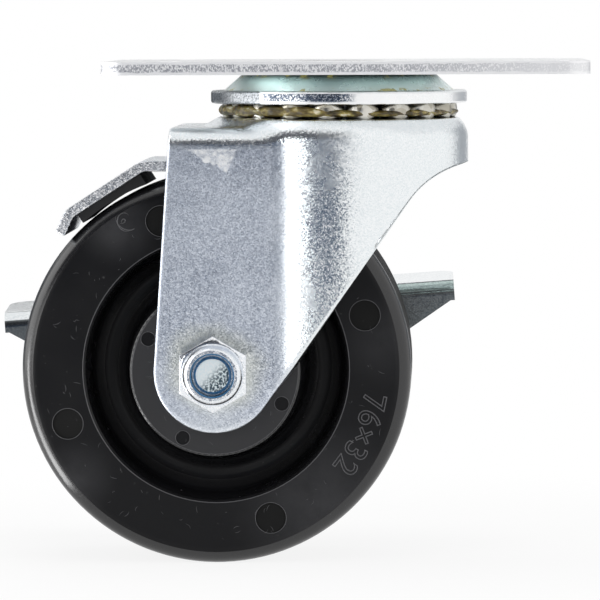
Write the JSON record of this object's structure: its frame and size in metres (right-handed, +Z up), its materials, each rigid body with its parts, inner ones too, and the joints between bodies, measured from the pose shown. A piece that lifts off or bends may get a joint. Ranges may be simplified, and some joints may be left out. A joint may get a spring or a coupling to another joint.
{
  "type": "top plate castor",
  "caption": "Swivel castor with a slotted steel top plate, a ball race, a pressed fork, a black plastic wheel and a rocking foot pedal that presses a brake pad on the tread.",
  "frame": {"origin": "point of the plate's top face on the swivel axis", "axes": "+Z up out of the plate's top face, +X along the plate's length with the wheel trailing to -X, +Y to the pedal side"},
  "size_m": [0.1173, 0.074, 0.0974],
  "materials": {
    "zinc_plated_steel": "bright blue-white zinc plate with a fine grain",
    "bare_steel": "turned steel",
    "ball_steel": "polished, greased",
    "wheel_plastic": "moulded, half gloss, scuffed",
    "pad_rubber": "matt moulded rubber",
    "blue_nylon": "smooth"
  },
  "bodies": {
    "plate": {"top_plate": "zinc_plated_steel", "upper_race": "zinc_plated_steel", "kingpin": "bare_steel", "lower_race": "bare_steel"},
    "ball_rings": {"upper_balls": "ball_steel", "lower_balls": "ball_steel"},
    "fork": {"fork": "zinc_plated_steel", "axle_sleeve": "bare_steel", "axle_bolt": "zinc_plated_steel", "axle_washer": "zinc_plated_steel", "lock_nut": "zinc_plated_steel", "lock_nut_insert": "blue_nylon", "pedal_bush": "bare_steel"},
    "wheel": {"wheel": "wheel_plastic"},
    "pedal": {"brake_pedal": "zinc_plated_steel", "cam_stud": "bare_steel"},
    "brake": {"brake_leaf": "zinc_plated_steel", "brake_pad": "pad_rubber"}
  },
  "joints": [
    {"name": "swivel", "type": "hinge", "parent": "plate", "child": "fork", "pos_m": [0, 0, -0.0095], "axis": [0, 0, 1], "continuous": true},
    {"name": "ball_orbit", "type": "hinge", "parent": "plate", "child": "ball_rings", "pos_m": [0, 0, -0.0095], "axis": [0, 0, 1], "continuous": true},
    {"name": "wheel_spin", "type": "hinge", "parent": "fork", "child": "wheel", "pos_m": [-0.0236, 0, -0.0596], "axis": [0, 1, 0], "continuous": true},
    {"name": "pedal_rock", "type": "hinge", "parent": "fork", "child": "pedal", "pos_m": [-0.0236, 0.02695, -0.0596], "axis": [0, -1, 0], "range_deg": [0, 6.5]},
    {"name": "leaf_flex", "type": "hinge", "parent": "fork", "child": "brake", "pos_m": [-0.016, 0, -0.0162], "axis": [0, -1, 0], "range_deg": [0, 0.6305]}
  ],
  "couplings": [
    {"joint": "ball_orbit", "follows": "swivel", "ratio": 0.5},
    {"joint": "leaf_flex", "follows": "pedal_rock", "ratio": 0.097}
  ]
}
